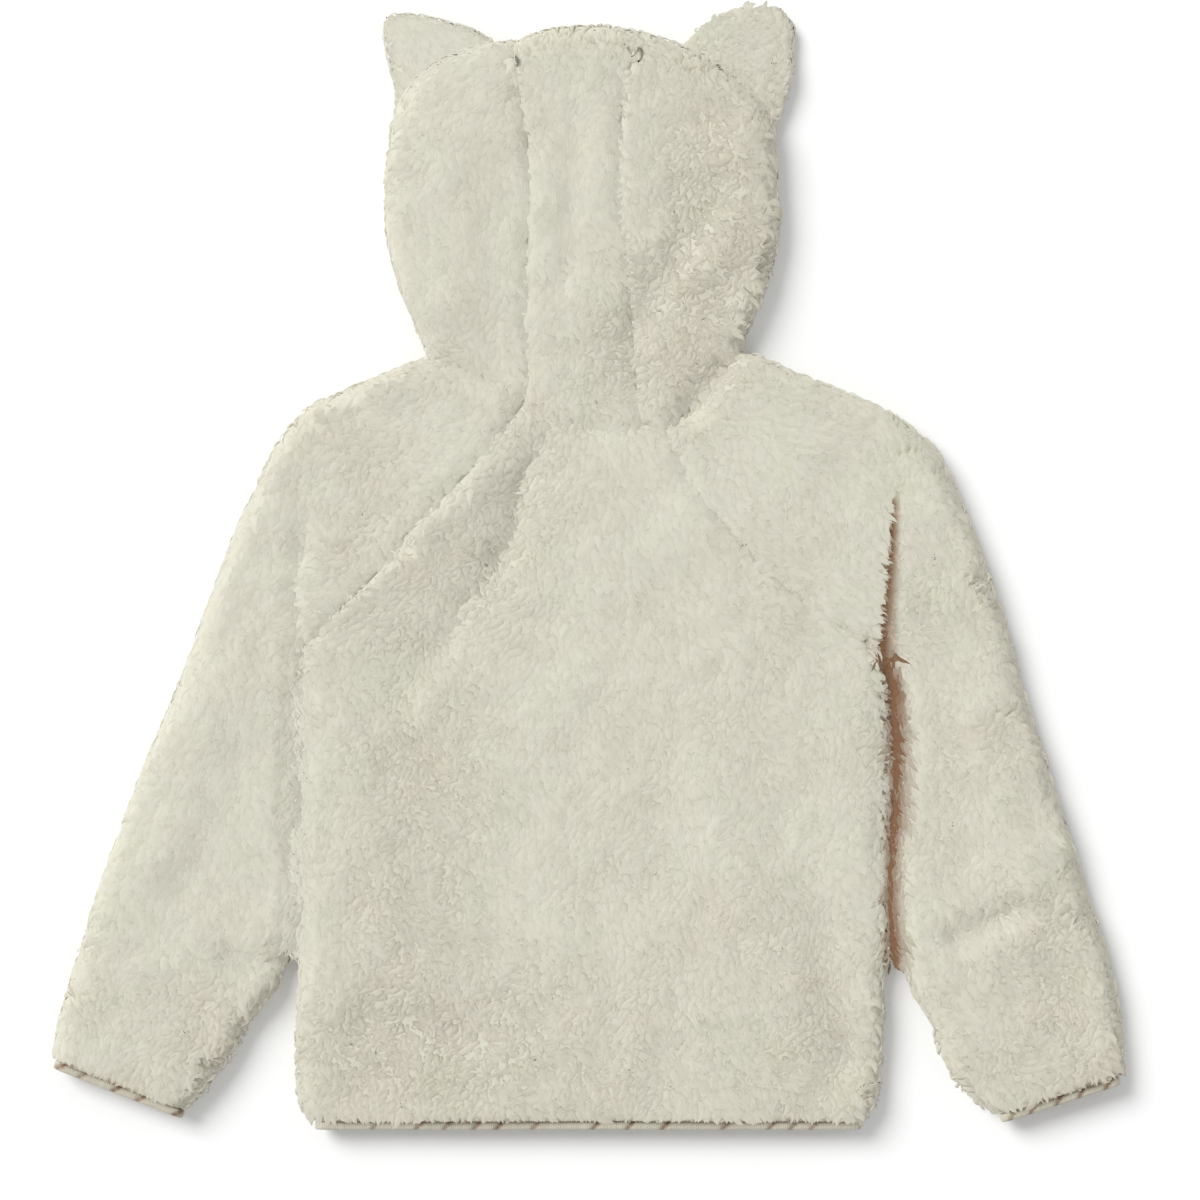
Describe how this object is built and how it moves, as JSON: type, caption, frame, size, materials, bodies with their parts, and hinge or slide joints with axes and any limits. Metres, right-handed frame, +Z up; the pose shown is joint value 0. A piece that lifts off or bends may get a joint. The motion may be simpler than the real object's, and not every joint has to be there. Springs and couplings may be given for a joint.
{
  "type": "sherpa zip-up hoodie",
  "caption": "Child's cream sherpa jacket with a zip front, raglan sleeves, bound edges and a three-panel hood with pointed ears, lying flat on its front.",
  "frame": {"origin": "on the surface the garment lies on, under the middle of its outline", "axes": "+Y towards the top of the hood, -X towards the wearer's left sleeve, +Z up through the back, which faces up"},
  "size_m": [0.621, 0.6515, 0.0262],
  "materials": {
    "sherpa": "cream curly pile, matt",
    "binding": "smooth elastic binding, low sheen",
    "zip_tape": "woven tape, matt",
    "zip_teeth": "moulded teeth",
    "zip_metal": "cream painted metal"
  },
  "bodies": {
    "garment": {"back": "sherpa", "front_left": "sherpa", "front_right": "sherpa", "sleeve_left": "sherpa", "sleeve_right": "sherpa", "hood_side_left": "sherpa", "hood_side_right": "sherpa", "hood_centre": "sherpa", "ear_left": "sherpa", "ear_right": "sherpa", "hem_binding": "binding", "cuff_binding_left": "binding", "cuff_binding_right": "binding", "hood_binding": "binding", "zip_tape_left": "zip_tape", "zip_tape_right": "zip_tape", "zip_chain": "zip_teeth", "zip_box": "zip_metal", "zip_slider": "zip_metal"},
    "pull_tab": {"zip_pull": "zip_metal"}
  },
  "joints": [
    {"name": "pull_tab_swing", "type": "hinge", "parent": "garment", "child": "pull_tab", "pos_m": [0, 0.066, 0.0026], "axis": [1, 0, 0], "range_deg": [0, 180]}
  ]
}
